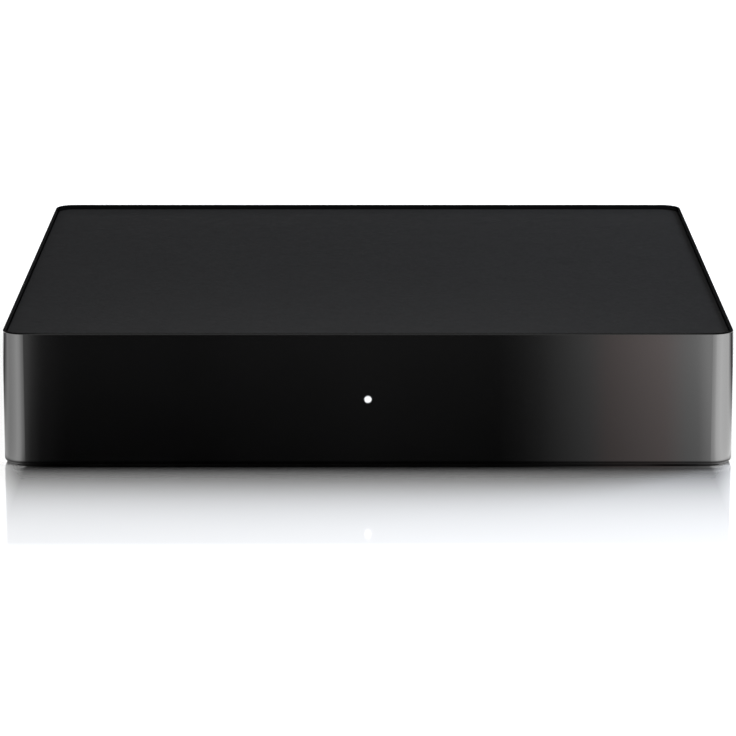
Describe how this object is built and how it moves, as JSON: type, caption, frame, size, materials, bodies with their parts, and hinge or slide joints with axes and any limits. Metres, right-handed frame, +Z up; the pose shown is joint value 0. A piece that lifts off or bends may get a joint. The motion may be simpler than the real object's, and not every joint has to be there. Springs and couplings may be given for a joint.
{
  "type": "streaming media player",
  "caption": "Low square set-top media box: gloss black wrap-around wall, matte lid inside a thin lip, front status light, sockets behind and on one side.",
  "frame": {"origin": "on the table, under the centre of the box", "axes": "+Z up, the front with the status light faces -Y, the socket panel faces +Y, the two side sockets face +X"},
  "size_m": [0.118, 0.118, 0.022],
  "materials": {
    "gloss_black": "polished piano black",
    "matte_black": "fine moulded texture",
    "foot_rubber": "matte",
    "label_film": "satin film",
    "zinc_steel": "zinc plated",
    "circuit_board": "solder mask",
    "chip_black": "moulded epoxy",
    "contact_gold": "gold flash",
    "sink_aluminium": "extruded, anodised",
    "thermal_silicone": "soft pad",
    "plated_steel": "bright tin plate",
    "connector_black": "moulded",
    "socket_blue": "moulded",
    "clear_acrylic": "clear, lit from inside",
    "lamp_white": "phosphor under clear resin",
    "antenna_copper": "thin sheet",
    "coax_grey": "jacket",
    "ferrite_grey": "ferrite",
    "passive_tan": "ceramic",
    "infrared_dark": "dark resin"
  },
  "bodies": {
    "case": {"side_band": "gloss_black", "top_panel": "matte_black", "bottom_cover": "matte_black", "rear_panel": "matte_black", "foot_front_left": "foot_rubber", "foot_front_right": "foot_rubber", "foot_rear_left": "foot_rubber", "foot_rear_right": "foot_rubber", "label_film": "label_film", "case_screws": "zinc_steel", "board_screws": "zinc_steel", "main_board": "circuit_board", "processor_chip": "chip_black", "memory_chips": "chip_black", "flash_chip": "chip_black", "thermal_pad": "thermal_silicone", "heat_sink": "sink_aluminium", "heat_sink_push_pins": "connector_black", "heat_sink_springs": "zinc_steel", "radio_module": "chip_black", "radio_can_frame": "plated_steel", "radio_can_lid": "plated_steel", "coax_connectors": "contact_gold", "antenna_left": "antenna_copper", "antenna_right": "antenna_copper", "antenna_cable_left": "coax_grey", "antenna_cable_right": "coax_grey", "infrared_receiver": "infrared_dark", "status_light": "lamp_white", "light_pipe": "clear_acrylic", "network_transformer": "chip_black", "power_inductors": "ferrite_grey", "capacitor_cans": "sink_aluminium", "support_chips": "chip_black", "chip_passives": "passive_tan", "network_shell": "plated_steel", "network_insert": "connector_black", "network_contacts": "contact_gold", "video_shell": "plated_steel", "video_insert": "connector_black", "video_contacts": "contact_gold", "usb_a_shell": "plated_steel", "usb_a_insert": "socket_blue", "usb_a_contacts": "contact_gold", "usb_c_shell": "plated_steel", "usb_c_insert": "connector_black", "usb_c_contacts": "contact_gold", "av_socket": "connector_black", "av_contacts": "contact_gold", "dc_socket": "connector_black", "dc_pin": "plated_steel", "dc_contacts": "contact_gold", "optical_housing": "connector_black", "optical_emitter": "clear_acrylic", "shutter_pin": "zinc_steel", "shutter_spring": "zinc_steel", "reset_switch": "plated_steel"},
    "reset_button": {"reset_button": "connector_black", "reset_plunger": "connector_black"},
    "optical_shutter": {"optical_shutter": "connector_black"}
  },
  "joints": [
    {"name": "reset_press", "type": "slide", "parent": "case", "child": "reset_button", "axis": [0, -1, 0], "range_m": [0, 0.00035], "stiffness_N_per_m": 900, "springref_m": -0.0005},
    {"name": "shutter_swing", "type": "hinge", "parent": "case", "child": "optical_shutter", "pos_m": [-0.017, 0.057, 0.0152], "axis": [-1, 0, 0], "range_deg": [0, 88], "stiffness_Nm_per_rad": 0.0004, "springref_deg": -22.92, "deforming": ["shutter_spring"]}
  ]
}
